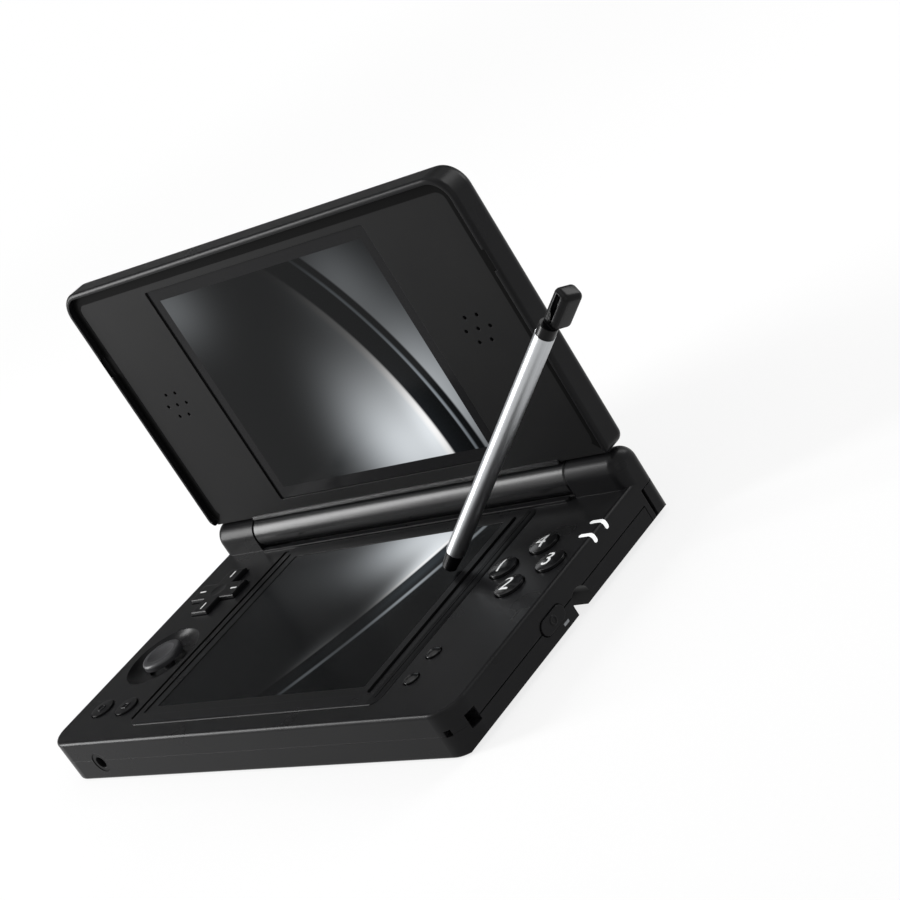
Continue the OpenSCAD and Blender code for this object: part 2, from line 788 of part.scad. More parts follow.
module menu_button() {
    color("#242424") from_front() {
        round_button(1);
        translate([round_spots[1][0], round_spots[1][1], base_h + 0.55]) difference() {
            cube([2.2, 2.2, 0.4], center = true);
            cube([1.4, 1.4, 2], center = true);
        }
    }
}

module power_button() {
    inner_x = half_w - wall;
    color("#242424") from_front() {
        side_pill(inner_x - 0.3, half_w + 0.35, power_y, side_z, power_len, power_high);
        side_pill(inner_x - 0.9, inner_x - 0.2, power_y, side_z, power_len + 1.8, power_high + 1.2);
        translate([half_w + 0.35, power_y, side_z]) rotate([0, 90, 0]) difference() {
            translate([0, 0, -0.1]) cylinder(h = 0.25, r = 1.2);
            translate([0, 0, -1]) cylinder(h = 2, r = 0.8);
        }
    }
}

// Rocker with a groove at the middle and raised minus and plus marks
module volume_rocker() {
    mark = volume_len / 3 - 0.2;
    color("#242424") from_front() {
        difference() {
            side_pill(-half_w - 0.4, -half_w + 1.2, volume_y, side_z, volume_len, 4.5);
            box(-half_w - 1, -half_w - 0.2, volume_y - 0.15, volume_y + 0.15, 0, 12);
        }
        box(-half_w + 1, -half_w + 2.9, volume_y - 1.4, volume_y + 1.4, side_z - 1.6, side_z + 1.6);
        side_pill(-half_w + 2.4, -half_w + 3.1, volume_y, side_z, volume_len + 1.4, 5.6);
        for (y = [volume_y - mark, volume_y + mark])
            box(-half_w - 0.55, -half_w - 0.3, y - 1.1, y + 1.1, side_z - 0.2, side_z + 0.2);
        box(-half_w - 0.55, -half_w - 0.3, volume_y + mark - 0.2, volume_y + mark + 0.2,
            side_z - 1.1, side_z + 1.1);
    }
}

module edge_switches() {
    plunger_y = shoulder_y - shoulder_skin - 0.1;
    color("#c0c4c8") from_front() {
        for (s = [0, 1]) mirror([s, 0, 0]) {
            box(half_w - 10.5, half_w - 3.5, plunger_y - 3, plunger_y, 3.4, board_z - 0.3);
            y_cyl(half_w - 7, plunger_y - 1, shoulder_y + 0.1, 5.5, 1);
        }
        box(half_w - 7.5, half_w - 4.1, power_y - 3, power_y + 3, 4.6, board_z - 0.05);
        x_cyl(half_w - 4.2, half_w - 3.2, power_y, side_z, 0.9);
        for (y = [volume_y - 5.5, volume_y + 5.5]) {
            box(-half_w + 4.3, -half_w + 6.6, y - 2.2, y + 2.2, 4.8, board_z - 0.05);
            x_cyl(-half_w + 3.8, -half_w + 4.4, y, side_z, 0.8);
        }
    }
}

module shoulder_button() {
    long = half_w - shoulder_x - 0.4;
    deep = body_d - shoulder_y - 1.1;
    color("#262626") difference() {
        translate([0, 0, shoulder_z0 + 0.4]) linear_extrude(shoulder_z1 - shoulder_z0 - 0.7) {
            translate([shoulder_x + 0.4, shoulder_y + 1.1]) square([long - rear_r, deep]);
            translate([shoulder_x + 0.4, shoulder_y + 1.1]) square([long, deep - rear_r]);
            intersection() {
                translate([half_w - rear_r, body_d - rear_r]) circle(rear_r);
                translate([shoulder_x, shoulder_y + 1.1]) square([long + 1, deep]);
            }
        }
        z_cyl(shoulder_hinge[0], shoulder_hinge[1], 0, 12, 1.05);
    }
}

module headphone_jack() {
    color("#3c3c3c") from_front() difference() {
        union() {
            y_cyl(jack_x, jack_y, 3, jack_z, 3);
            box(jack_x - 3.5, jack_x + 3.5, wall + 0.05, 14, 2.6, board_z - 0.05);
        }
        y_cyl(jack_x, -1, 12.5, jack_z, jack_r);
    }
}

module charge_port() {
    z0 = port_z0;
    z1 = port_z1;
    color("#b8bcc0") from_front() {
        difference() {
            box(port_x - port_half, port_x + port_half, body_d - 7.5, body_d - 0.3, z0, z1);
            box(port_x - 3.7, port_x + 3.7, body_d - 7, body_d + 1, z0 + 0.5, z1 - 0.45);
        }
        box(port_x - 2.8, port_x + 2.8, body_d - 7.1, body_d - 1.4, z0 + 1.3, z0 + 1.9);
    }
}

module stylus_tube() {
    color("#2e2e2e") from_front() difference() {
        x_cyl(tube_x1 - tube_len - 0.8, tube_x1 - 0.05, bay_y, bay_z, tube_r);
        x_cyl(tube_x1 - tube_len, tube_x1 + 1, bay_y, bay_z, bay_r);
    }
}

module microphone() {
    color("#b8bcc0") from_front() z_cyl(0.5, (lip_y0 + lip_y1) / 2, board_top, board_top + 1.4, 1.3);
}

// Light guides: the skin of the cover's edge inside the bars
module status_lights() {
    skin = 0.95;
    color("#f4f4f4") from_front() intersection() {
        difference() {
            soft_slab(body_w, 0, body_d, split_z, base_h, corner_r, rear_r, top_edge_r, 0);
            soft_slab(body_w - 2 * skin, skin, body_d - skin, split_z - 1, base_h - skin,
                corner_r - skin, rear_r - skin, 0.3, 0);
        }
        light_bars();
    }
}

module light_space(s, y, z, gap) {
    box(s > 0 ? half_w - 2 : -half_w - 1, s > 0 ? half_w + 1 : -half_w + 2,
        y - 1 - gap, y + 1 + gap, z - 0.35 - gap, z + 0.35 + gap);
}

module power_light() {
    color("#f4f4f4") from_front() intersection() {
        light_space(1, power_y + 3.2, 3.2, 0);
        box(half_w - wall, half_w, 0, body_d, 0, base_h);
    }
}

module charge_light() {
    color("#f4f4f4") from_front() intersection() {
        light_space(-1, volume_y - 11.4, split_z + 1.4, 0);
        box(-half_w, -half_w + wall, 0, body_d, 0, base_h);
    }
}

module case_screws() {
    color("#a8acb0") from_front() for (s = [-1, 1]) {
        z_cyl(s * screw_x, screw_y, 0.9, 8.6, 0.95);
        difference() {
            z_cyl(s * screw_x, screw_y, 0.1, 0.95, 2.2);
            cross_slot(s * screw_x, screw_y, 0.2, 2.4, 0.5);
        }
    }
}

module hinge_pin() {
    color("#9a9ea2") x_cyl(barrel_end - 6, half_w - 4, hinge_y, hinge_z, pin_r);
}

module hinge_clutch() {
    color("#8a8e92") difference() {
        x_cyl(barrel_end - 9, barrel_end - 0.2, hinge_y, hinge_z, barrel_bore_r - 0.03);
        x_cyl(barrel_end - 7, barrel_end + 1, hinge_y, hinge_z, pin_r + pin_fit);
    }
}

// Barrel with chamfered ends, four lugs for the lid, a slit for the ribbon and one for sound
module hinge_barrel() {
    front = hinge_y - barrel_r;
    color("#262626") on_lid() difference() {
        union() {
            x_cyl(0.4 - barrel_end, barrel_end - 0.4, hinge_y, hinge_z, barrel_r);
            for (s = [0, 1]) mirror([s, 0, 0]) translate([barrel_end - 0.4, hinge_y, hinge_z])
                rotate([0, 90, 0]) cylinder(h = 0.4, r1 = barrel_r, r2 = barrel_r - 0.4);
            for (s = [0, 1], x = [14, 44]) mirror([s, 0, 0])
                box(x - 4, x + 4, lid_end_y - 3.7, hinge_y - 3.5, bezel_z1 + 0.1, lid_in_z);
        }
        x_cyl(-barrel_end - 1, barrel_end + 1, hinge_y, hinge_z, barrel_bore_r);
        box(-8.5, 8.5, front - 1, hinge_y - 2, hinge_z + 1, hinge_z + 1.8);
        box(-1.4, -0.6, hinge_y - 1, hinge_y + 6, hinge_z - 1.4, hinge_z + 1.4);
    }
}

// Back shell with a rim at the free edge and the sides, open along the hinge
module lid_back() {
    inner_x = lid_x - lid_wall;
    color("#2a2a2a") on_lid() difference() {
        union() {
            soft_slab(2 * lid_x, lid_front, lid_end_y, lid_z0, lid_z1, corner_r, 2.6, lid_edge_r, 1);
            box(-barrel_end, barrel_end, lid_end_y - 4, hinge_y - 1.7, lid_in_z, lid_z1);
        }
        soft_slab(2 * inner_x, lid_front + lid_wall, lid_end_y - lid_wall, lid_z0 - 1, lid_in_z,
            corner_r - lid_wall, 2.6 - lid_wall, 0.6, 0);
        box(-inner_x, inner_x, lid_end_y - lid_wall - 0.1, lid_end_y + 1, lid_z0 - 1, bezel_z1 + 0.05);
        box(-barrel_end, barrel_end, lid_end_y - lid_wall - 0.1, hinge_y, lid_z0 - 1, lid_in_z);
        x_cyl(-half_w, half_w, hinge_y, hinge_z, barrel_r + 0.03);
        for (s = [-1, 1])
            box(s * inner_x - 0.8, s * inner_x + 0.8, 21.5, 27.5, lid_z0 - 1, lid_z0 + 1.3);
    }
}

module speaker_spots() {
    for (s = [-1, 1]) translate([s * speaker_x, speaker_y, 0]) {
        for (x = [-4.2, 0, 4.2]) translate([x, 0, 0]) children();
        for (x = [-2.1, 2.1], y = [-3.6, 3.6]) translate([x, y, 0]) children();
    }
}

// Inner panel: round corners at the free edge, square ones at the hinge
module lid_bezel() {
    round = corner_r - lid_wall - 0.1;
    color("#242424") on_lid() difference() {
        union() {
            plate(-bezel_x, bezel_x, bezel_y, lid_end_y / 2, lid_face_z, bezel_z1, round);
            box(-bezel_x, bezel_x, bezel_y + round, lid_end_y, lid_face_z, bezel_z1);
            box(0.1 - barrel_end, barrel_end - 0.1, lid_end_y - 1, hinge_y - barrel_r - 0.2,
                lid_face_z, bezel_z1);
        }
        plate(-window_w / 2 - shell_fit, window_w / 2 + shell_fit, window_y - shell_fit,
            window_y + window_d + shell_fit, lid_z0, lid_z1, 0.6);
        speaker_spots() z_cyl(0, 0, lid_z0, lid_z1, 0.55);
    }
}

module upper_window() {
    color("#101418") on_lid()
        plate(-window_w / 2, window_w / 2, window_y, window_y + window_d,
            lid_face_z + window_drop, bezel_z1, 0.5);
}

module upper_display() {
    x = screen_w / 2 + 1.9;
    y = screen_d / 2 + 1.8;
    color("#30343a") on_lid() box(-x, x, upper_y - y, upper_y + y, bezel_z1 + 0.1, lid_in_z - 0.6);
}

module speaker() {
    color("#44484c") difference() {
        plate(speaker_x - 7.8, speaker_x + 7.8, speaker_y - 6.1, speaker_y + 6.1,
            bezel_z1 + 0.05, lid_in_z - 0.3, 3);
        z_cyl(speaker_x, speaker_y, lid_z0, bezel_z1 + 0.8, 4.8);
    }
}

module display_ribbon() {
    color("#c89a4a") on_lid() {
        difference() {
            x_cyl(-8, 8, hinge_y, hinge_z, 2.2);
            x_cyl(-9, 9, hinge_y, hinge_z, 1.9);
        }
        box(-8, 8, upper_y + screen_d / 2 + 2, hinge_y - 1.5, hinge_z + 1.3, hinge_z + 1.5);
    }
}

// Stylus, drawn standing on its tip and then laid at its writing slant
stylus_at = [screen_w / 2 - 3.8, 55.8, glass_z + 1.65];
stylus_tilt = 51.2;
stylus_turn = 11.1;
stylus_roll = 32;
head_z = stylus_len - head_len;

module on_stylus() {
    from_front() translate(stylus_at) rotate([0, stylus_tilt, stylus_turn])
        rotate([0, 0, stylus_roll]) children();
}

module stylus_tip() {
    color("#181818") on_stylus() rotate_extrude() {
        polygon([[0, 0], [1.4, 0], [1.9, 0.5], [stylus_r - 0.15, tip_len], [0, tip_len]]);
        translate([0, tip_len - 0.1]) square([stylus_r - 0.6, 3]);
    }
}

module stylus_barrel() {
    bore = stylus_r - 0.55;
    color("#b8bcc0") on_stylus() difference() {
        translate([0, 0, tip_len + 0.05]) cylinder(h = head_z - tip_len - 0.05, r = stylus_r);
        cylinder(h = tip_len + 3, r = bore);
        translate([0, 0, head_z - 3.6]) cylinder(h = 10, r = bore);
    }
}

// Head with a plug, a collar, a slotted post and a finger block on one side
module stylus_head() {
    color("#181818") on_stylus() difference() {
        union() {
            translate([0, 0, head_z - 3.5]) cylinder(h = 4, r = stylus_r - 0.6);
            translate([0, 0, head_z + 0.05]) cylinder(h = 3.2, r = stylus_r - 0.1);
            box(-2.3, 2.2, -2.15, 2.15, head_z + 1.8, stylus_len - 0.8);
            rotate([90, 0, 0]) translate([0, 0, -2.15]) linear_extrude(4.3) head_outline();
        }
        box(-2.5, -0.8, -1, 1, head_z + 2.4, stylus_len - 2.2);
    }
}

module head_outline() {
    difference() {
        round_rect(-2.3, 4.1, stylus_len - 9, stylus_len, 0.8);
        translate([2, stylus_len - 2]) difference() {
            square(4);
            circle(2.1);
        }
    }
}

top_cover();
bottom_cover();
screen_frame();
touch_panel();
lower_display();
main_board();
board_screws();
battery();
slider_module();
dpad_membrane();
face_button_membrane();
tact_switches();
edge_switches();
headphone_jack();
charge_port();
stylus_tube();
microphone();
status_lights();
power_light();
charge_light();
case_screws();
from_front() mirror([1, 0, 0]) hinge_pin();  // hinge_pin_left
from_front() hinge_pin();  // hinge_pin_right
dpad_pivot();
dpad();
slider_carriage();
slide_pad();
face_button(0);  // face_button_top
face_button(1);  // face_button_right
face_button(2);  // face_button_bottom
face_button(3);  // face_button_left
peg_button(0);  // start_button
peg_button(1);  // select_button
home_button();
menu_button();
power_button();
volume_rocker();
from_front() mirror([1, 0, 0]) shoulder_button();  // left_shoulder_button
from_front() shoulder_button();  // right_shoulder_button
lid_back();
lid_bezel();
hinge_barrel();
upper_window();
upper_display();
on_lid() mirror([1, 0, 0]) speaker();  // speaker_left
on_lid() speaker();  // speaker_right
on_lid() mirror([1, 0, 0]) hinge_clutch();  // hinge_clutch_left
on_lid() hinge_clutch();  // hinge_clutch_right
display_ribbon();
stylus_barrel();
stylus_tip();
stylus_head();
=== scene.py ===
import math
import bpy
from mathutils import Matrix, Vector


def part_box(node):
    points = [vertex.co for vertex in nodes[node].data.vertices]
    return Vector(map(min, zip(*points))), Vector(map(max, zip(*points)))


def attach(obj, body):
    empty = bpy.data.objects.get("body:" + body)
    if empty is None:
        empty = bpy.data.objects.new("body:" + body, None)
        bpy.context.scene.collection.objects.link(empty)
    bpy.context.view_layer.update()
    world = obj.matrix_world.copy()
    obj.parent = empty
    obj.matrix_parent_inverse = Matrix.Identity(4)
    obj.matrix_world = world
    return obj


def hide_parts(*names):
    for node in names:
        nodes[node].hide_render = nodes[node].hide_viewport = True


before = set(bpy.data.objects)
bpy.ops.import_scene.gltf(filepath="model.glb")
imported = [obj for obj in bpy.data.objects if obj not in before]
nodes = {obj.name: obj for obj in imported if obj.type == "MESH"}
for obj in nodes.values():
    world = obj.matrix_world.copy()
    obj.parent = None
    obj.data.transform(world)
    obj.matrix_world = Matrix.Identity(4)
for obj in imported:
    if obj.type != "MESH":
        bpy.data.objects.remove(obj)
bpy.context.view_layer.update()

mm = 0.001
print("frame loaded")


def deselectAll():
    if bpy.context.object and bpy.context.object.mode != "OBJECT":
        bpy.ops.object.mode_set(mode="OBJECT")
    bpy.ops.object.select_all(action="DESELECT")


def linear(hexColour):
    # sRGB hex to the linear values that shaders use
    parts = [int(hexColour[i:i + 2], 16) / 255 for i in (1, 3, 5)]
    return [c / 12.92 if c <= 0.04045 else ((c + 0.055) / 1.055) ** 2.4 for c in parts] + [1.0]


def addNode(material, kind, settings=None, links=None):
    # one shader node with its settings and incoming links
    node = material.node_tree.nodes.new(kind)
    for name, value in (settings or {}).items():
        if isinstance(name, str) and hasattr(node, name):
            setattr(node, name, value)
        else:
            node.inputs[name].default_value = value
    for name, source in (links or {}).items():
        material.node_tree.links.new(source, node.inputs[name])
    return node


def newMaterial(name):
    material = bpy.data.materials.new(name)
    material.use_nodes = True
    material.node_tree.nodes.clear()
    return material


def finishMaterial(material, shader):
    addNode(material, "ShaderNodeOutputMaterial", links={"Surface": shader.outputs[0]})
    return material


def paint(material, *names):
    # puts a material on CAD nodes by name
    for name in names:
        mesh = nodes[name].data
        mesh.materials.clear()
        mesh.materials.append(material)


def inMm(values):
    return Vector(values) * mm


def addBlock(name, size, centre):
    # a plain block to start a piece or a cutter from
    deselectAll()
    bpy.ops.mesh.primitive_cube_add(size=1, location=centre)
    block = bpy.context.object
    block.name = name
    block.scale = size
    bpy.ops.object.transform_apply(location=True, rotation=False, scale=True)
    return block


def bevelEdges(piece, offset, segments, chosen=None):
    # rounds every edge, or only those picked by the places of their two ends
    bpy.ops.object.mode_set(mode="EDIT")
    bpy.ops.mesh.select_mode(type="EDGE")
    bpy.ops.mesh.select_all(action="DESELECT" if chosen else "SELECT")
    if chosen:
        bpy.ops.object.mode_set(mode="OBJECT")
        for edge in piece.data.edges:
            edge.select = chosen(*[piece.data.vertices[i].co for i in edge.vertices])
        bpy.ops.object.mode_set(mode="EDIT")
    bpy.ops.mesh.bevel(offset=offset, segments=segments, affect="EDGES")
    bpy.ops.mesh.select_all(action="DESELECT")
    bpy.ops.object.mode_set(mode="OBJECT")


def combine(piece, other, operation):
    # joins, cuts or trims a piece by another mesh, which is used up
    deselectAll()
    bpy.context.view_layer.objects.active = piece
    piece.select_set(True)
    step = piece.modifiers.new("step", "BOOLEAN")
    step.operation = operation
    step.solver = "EXACT"
    step.object = other
    bpy.ops.object.modifier_apply(modifier=step.name)
    bpy.data.objects.remove(other)


# camera: a long lens 60 cm away, rolled as in a hand-held product shot
cameraView = {
    "place": (461.02, -317.26, 225.41),  # mm from the middle of the base's underside
    "right": (0.67047, 0.53368, -0.51542),
    "down": (-0.13436, -0.59588, -0.79176),
    "forward": (-0.72967, 0.60010, -0.32781),
    "lens": 93.72,
    "sensor": 36,
    "clip": (0.01, 20),
}


def addCamera(settings):
    bpy.ops.object.camera_add()
    camera = bpy.context.object
    camera.name = "mainCamera"
    right, down, forward = (Vector(settings[k]).normalized() for k in ("right", "down", "forward"))
    turn = Matrix((right, -down, -forward)).transposed().to_4x4()
    camera.matrix_world = Matrix.Translation(inMm(settings["place"])) @ turn
    camera.data.sensor_width = settings["sensor"]
    camera.data.lens = settings["lens"]
    camera.data.clip_start, camera.data.clip_end = settings["clip"]
    bpy.context.scene.camera = camera


deselectAll()
addCamera(cameraView)
print("camera placed")


# ABS, moulded in a finely spark-eroded tool: an even dark skin with a soft, broad sheen.
# The real grain is finer than a pixel, so it is drawn coarser and shallow to show at all.
mouldedSkin = {"cloudDetail": 2.0, "grainDetail": 1.0, "roughSpread": 0.02, "deepMm": 0.03}


def mouldedPlastic(name, look):
    material = newMaterial(name)
    coords = addNode(material, "ShaderNodeTexCoord").outputs["Object"]
    cloud = addNode(material, "ShaderNodeTexNoise", {"Scale": 1 / (look["cloudMm"] * mm),
                                                     "Detail": mouldedSkin["cloudDetail"]},
                    {"Vector": coords})
    grain = addNode(material, "ShaderNodeTexNoise", {"Scale": 1 / (look["grainMm"] * mm),
                                                     "Detail": mouldedSkin["grainDetail"]},
                    {"Vector": coords})
    tint = addNode(material, "ShaderNodeMix", {"data_type": "RGBA", 6: linear(look["dark"]),
                                               7: linear(look["light"])}, {0: cloud.outputs[0]})
    rough = addNode(material, "ShaderNodeMapRange",
                    {"To Min": look["rough"] - mouldedSkin["roughSpread"],
                     "To Max": look["rough"] + mouldedSkin["roughSpread"]},
                    {"Value": cloud.outputs[0]})
    edge = addNode(material, "ShaderNodeBevel", {"samples": 4, "Radius": look["edgeMm"] * mm})
    bump = addNode(material, "ShaderNodeBump", {"Strength": look["bump"],
                                                "Distance": mouldedSkin["deepMm"] * mm},
                   {"Height": grain.outputs[0], "Normal": edge.outputs[0]})
    shader = addNode(material, "ShaderNodeBsdfPrincipled",
                     {"IOR": 1.5, "Specular IOR Level": look["sheen"]},
                     {"Base Color": tint.outputs[2], "Roughness": rough.outputs[0],
                      "Normal": bump.outputs[0]})
    return finishMaterial(material, shader)


plasticLooks = {
    "satinBlackAbs": {"dark": "#131314", "light": "#181819", "rough": 0.28, "grainMm": 0.45,
                      "cloudMm": 14, "bump": 0.06, "edgeMm": 0.3, "sheen": 0.085},
    "satinBlackShell": {"dark": "#131314", "light": "#181819", "rough": 0.28, "grainMm": 0.45,
                        "cloudMm": 14, "bump": 0.06, "edgeMm": 0.08, "sheen": 0.085},
    "polishedBlackAbs": {"dark": "#131314", "light": "#181819", "rough": 0.25, "grainMm": 0.45,
                         "cloudMm": 14, "bump": 0.03, "edgeMm": 0.03, "sheen": 0.2},
    "mattBlackAbs": {"dark": "#141415", "light": "#191919", "rough": 0.36, "grainMm": 0.5,
                     "cloudMm": 16, "bump": 0.07, "edgeMm": 0.2, "sheen": 0.08},
    "glossBlackAbs": {"dark": "#0e0e0f", "light": "#131314", "rough": 0.2, "grainMm": 0.4,
                      "cloudMm": 6, "bump": 0.04, "edgeMm": 0.15, "sheen": 0.3},
    "deepBlackAbs": {"dark": "#060607", "light": "#0a0a0b", "rough": 0.26, "grainMm": 0.3,
                     "cloudMm": 6, "bump": 0.06, "edgeMm": 0.25, "sheen": 0.12},
    "softTouchCap": {"dark": "#2a2a2c", "light": "#333335", "rough": 0.42, "grainMm": 0.3,
                     "cloudMm": 8, "bump": 0.1, "edgeMm": 0.2, "sheen": 0.35},
    # painted shade: a near-black look for the thin strips laid where gaps and the lid's rim cast
    # shade
    "paintedShadeRubber": {"dark": "#050505", "light": "#090909", "rough": 0.6, "grainMm": 0.3,
                   "cloudMm": 5, "bump": 0.1, "edgeMm": 0.02, "sheen": 0.03},
}
plastics = {name: mouldedPlastic(name, look) for name, look in plasticLooks.items()}
paint(plastics["satinBlackShell"], "bottom_cover")
paint(plastics["softTouchCap"], "slide_pad")
paint(plastics["polishedBlackAbs"], "hinge_barrel")
paint(plastics["deepBlackAbs"], "stylus_tip", "stylus_head")
paint(plastics["satinBlackAbs"], "top_cover", "lid_back", "dpad", "left_shoulder_button",
      "right_shoulder_button", "home_button", "menu_button", "power_button", "volume_rocker",
      "screen_frame")
paint(plastics["mattBlackAbs"], "lid_bezel", "stylus_tube", "slider_module",
      "headphone_jack", "speaker_left", "speaker_right")
paint(plastics["glossBlackAbs"], "face_button_top", "face_button_right", "face_button_bottom",
      "face_button_left", "start_button", "select_button")


# acrylic light guide, moulded clear and hazed: milky white, glowing faintly where it is lit
def whiteLens(name, look):
    material = newMaterial(name)
    coords = addNode(material, "ShaderNodeTexCoord").outputs["Object"]
    haze = addNode(material, "ShaderNodeTexNoise", {"Scale": 1 / (look["hazeMm"] * mm)},
                   {"Vector": coords})
    tint = addNode(material, "ShaderNodeMix", {"data_type": "RGBA", 6: linear(look["dark"]),
                                               7: linear(look["light"])}, {0: haze.outputs[0]})
    shader = addNode(material, "ShaderNodeBsdfPrincipled",
                     {"Roughness": 0.35, "IOR": 1.49, "Emission Strength": look["glow"]},
                     {"Base Color": tint.outputs[2], "Emission Color": tint.outputs[2]})
    return finishMaterial(material, shader)


opalAcrylic = whiteLens("opalAcrylic", {"dark": "#e9eaeb", "light": "#f7f8f8",
                                        "hazeMm": 0.6, "glow": 0.3})
# unlit grey light guides; beside the power button this pale patch sits where a glint of light
# shows, so there it is partly a painted highlight
smokedAcrylicAndGlint = whiteLens("smokedAcrylicAndGlint", {"dark": "#6f7275", "light": "#85888b",
                                            "hazeMm": 0.6, "glow": 0.0})  # unlit
paint(opalAcrylic, "status_lights")
paint(smokedAcrylicAndGlint, "power_light", "charge_light")


# stainless tube, drawn and brushed lengthwise: long soft streaks of light
stylusPose = {"tip": (37.8, 10.3, 14.4), "tilt": 51.2, "turn": 11.1}


def brushedSteel(name, look):
    material = newMaterial(name)
    coords = addNode(material, "ShaderNodeTexCoord").outputs["Object"]
    along = addNode(material, "ShaderNodeMapping",
                    {"vector_type": "TEXTURE", "Location": inMm(look["from"]),
                     "Rotation": [math.radians(v) for v in look["turn"]],
                     "Scale": (1, 1, look["stretch"])}, {"Vector": coords})
    streak = addNode(material, "ShaderNodeTexNoise", {"Scale": 1 / (look["streakMm"] * mm),
                                                      "Detail": 4.0},
                     {"Vector": along.outputs[0]})
    rough = addNode(material, "ShaderNodeMapRange", {"To Min": look["rough"] - look["uneven"],
                                                     "To Max": look["rough"] + look["uneven"]},
                    {"Value": streak.outputs[0]})
    tint = addNode(material, "ShaderNodeMix", {"data_type": "RGBA", 6: linear(look["dark"]),
                                               7: linear(look["light"])}, {0: streak.outputs[0]})
    bump = addNode(material, "ShaderNodeBump", {"Strength": look["bump"],
                                                "Distance": look["deepMm"] * mm},
                   {"Height": streak.outputs[0]})
    shader = addNode(material, "ShaderNodeBsdfPrincipled", {"Metallic": 1.0},
                     {"Base Color": tint.outputs[2], "Roughness": rough.outputs[0],
                      "Normal": bump.outputs[0]})
    return finishMaterial(material, shader)


stylusSteel = brushedSteel("brushedStainlessTube", {
    "dark": "#a4a6a8", "light": "#bcbec0", "rough": 0.34, "uneven": 0.03, "bump": 0.03,
    "streakMm": 0.25, "stretch": 80, "deepMm": 0.01,
    "from": stylusPose["tip"], "turn": (0, stylusPose["tilt"], stylusPose["turn"])})
plainSteel = brushedSteel("groundSteel", {
    "dark": "#85888b", "light": "#a9acaf", "rough": 0.34, "uneven": 0.07, "bump": 0.15,
    "streakMm": 0.25, "stretch": 6, "deepMm": 0.01,
    "from": (0, 0, 0), "turn": (0, 90, 0)})
paint(stylusSteel, "stylus_barrel")
paint(plainSteel, "board_screws", "case_screws", "charge_port", "microphone", "tact_switches",
      "edge_switches", "hinge_pin_left", "hinge_pin_right", "hinge_clutch_left",
      "hinge_clutch_right")


# inner pieces: board, wrap, rubber, nylon and film, each with its own fine texture
def innerMaterial(name, look):
    material = newMaterial(name)
    coords = addNode(material, "ShaderNodeTexCoord").outputs["Object"]
    speck = addNode(material, "ShaderNodeTexVoronoi", {"Scale": 1 / (look["grainMm"] * mm)},
                    {"Vector": coords})
    tint = addNode(material, "ShaderNodeMix", {"data_type": "RGBA", 6: linear(look["dark"]),
                                               7: linear(look["light"])}, {0: speck.outputs[0]})
    bump = addNode(material, "ShaderNodeBump", {"Strength": 0.2, "Distance": 0.02 * mm},
                   {"Height": speck.outputs[0]})
    shader = addNode(material, "ShaderNodeBsdfPrincipled", {"Roughness": look["rough"]},
                     {"Base Color": tint.outputs[2], "Normal": bump.outputs[0]})
    return finishMaterial(material, shader)


innerLooks = {
    "solderMask": ({"dark": "#17502f", "light": "#226b42", "grainMm": 1.4, "rough": 0.35},
                   ["main_board"]),
    "shrinkWrap": ({"dark": "#33383d", "light": "#41474d", "grainMm": 2.5, "rough": 0.45},
                   ["battery"]),
    "siliconeRubber": ({"dark": "#7d8286", "light": "#949a9f", "grainMm": 0.5, "rough": 0.7},
                       ["dpad_membrane", "face_button_membrane"]),
    "mouldedNylon": ({"dark": "#cbc7ba", "light": "#dedacd", "grainMm": 0.6, "rough": 0.55},
                     ["slider_carriage", "dpad_pivot"]),
    "polyimideFilm": ({"dark": "#a9782f", "light": "#c8954b", "grainMm": 1.0, "rough": 0.25},
                      ["display_ribbon"]),
    "panelFilm": ({"dark": "#1c2024", "light": "#262b30", "grainMm": 1.2, "rough": 0.3},
                  ["lower_display", "upper_display"]),
}
for name, (look, names) in innerLooks.items():
    paint(innerMaterial(name, look), *names)
print("plain materials made")


# display glass: black glass over a lit panel that shows plain arcs of soft light.
# A real panel's rows of cells are finer than this; they are drawn 0.25 mm apart to show.
panelCells = {"bandScale": 1.26, "dip": 0.06}
rampSpan = 60  # mm from one end of the colour ramp to the other, with the arc in its middle


